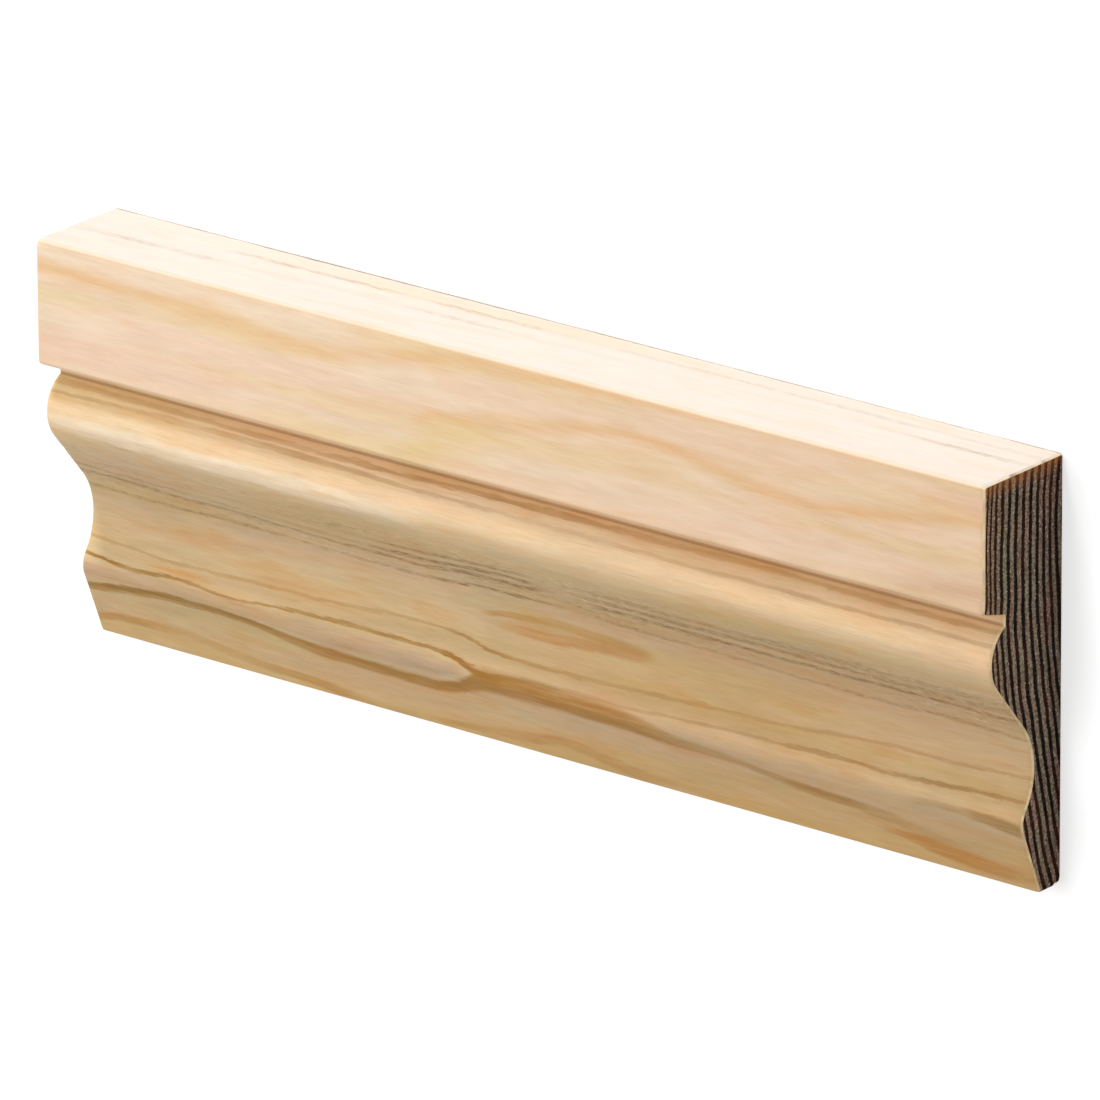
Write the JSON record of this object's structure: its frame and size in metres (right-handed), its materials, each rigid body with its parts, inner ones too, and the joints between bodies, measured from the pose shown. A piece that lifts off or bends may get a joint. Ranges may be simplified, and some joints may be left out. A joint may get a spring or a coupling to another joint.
{
  "type": "architrave",
  "caption": "Short length of softwood ogee architrave: a flat band, a quirk and an ogee that falls to a thin edge, for trimming the joint between a door or window frame and the wall.",
  "frame": {"origin": "middle of the back face, which lies on the floor", "axes": "+X along the grain and the length, +Y across the width from the thin edge to the thick edge, +Z out of the wall, from the back to the moulded face"},
  "size_m": [0.185, 0.069, 0.0195],
  "materials": {
    "pine": "bare planed softwood, satin"
  },
  "bodies": {
    "root": {"architrave": "pine"}
  },
  "joints": []
}
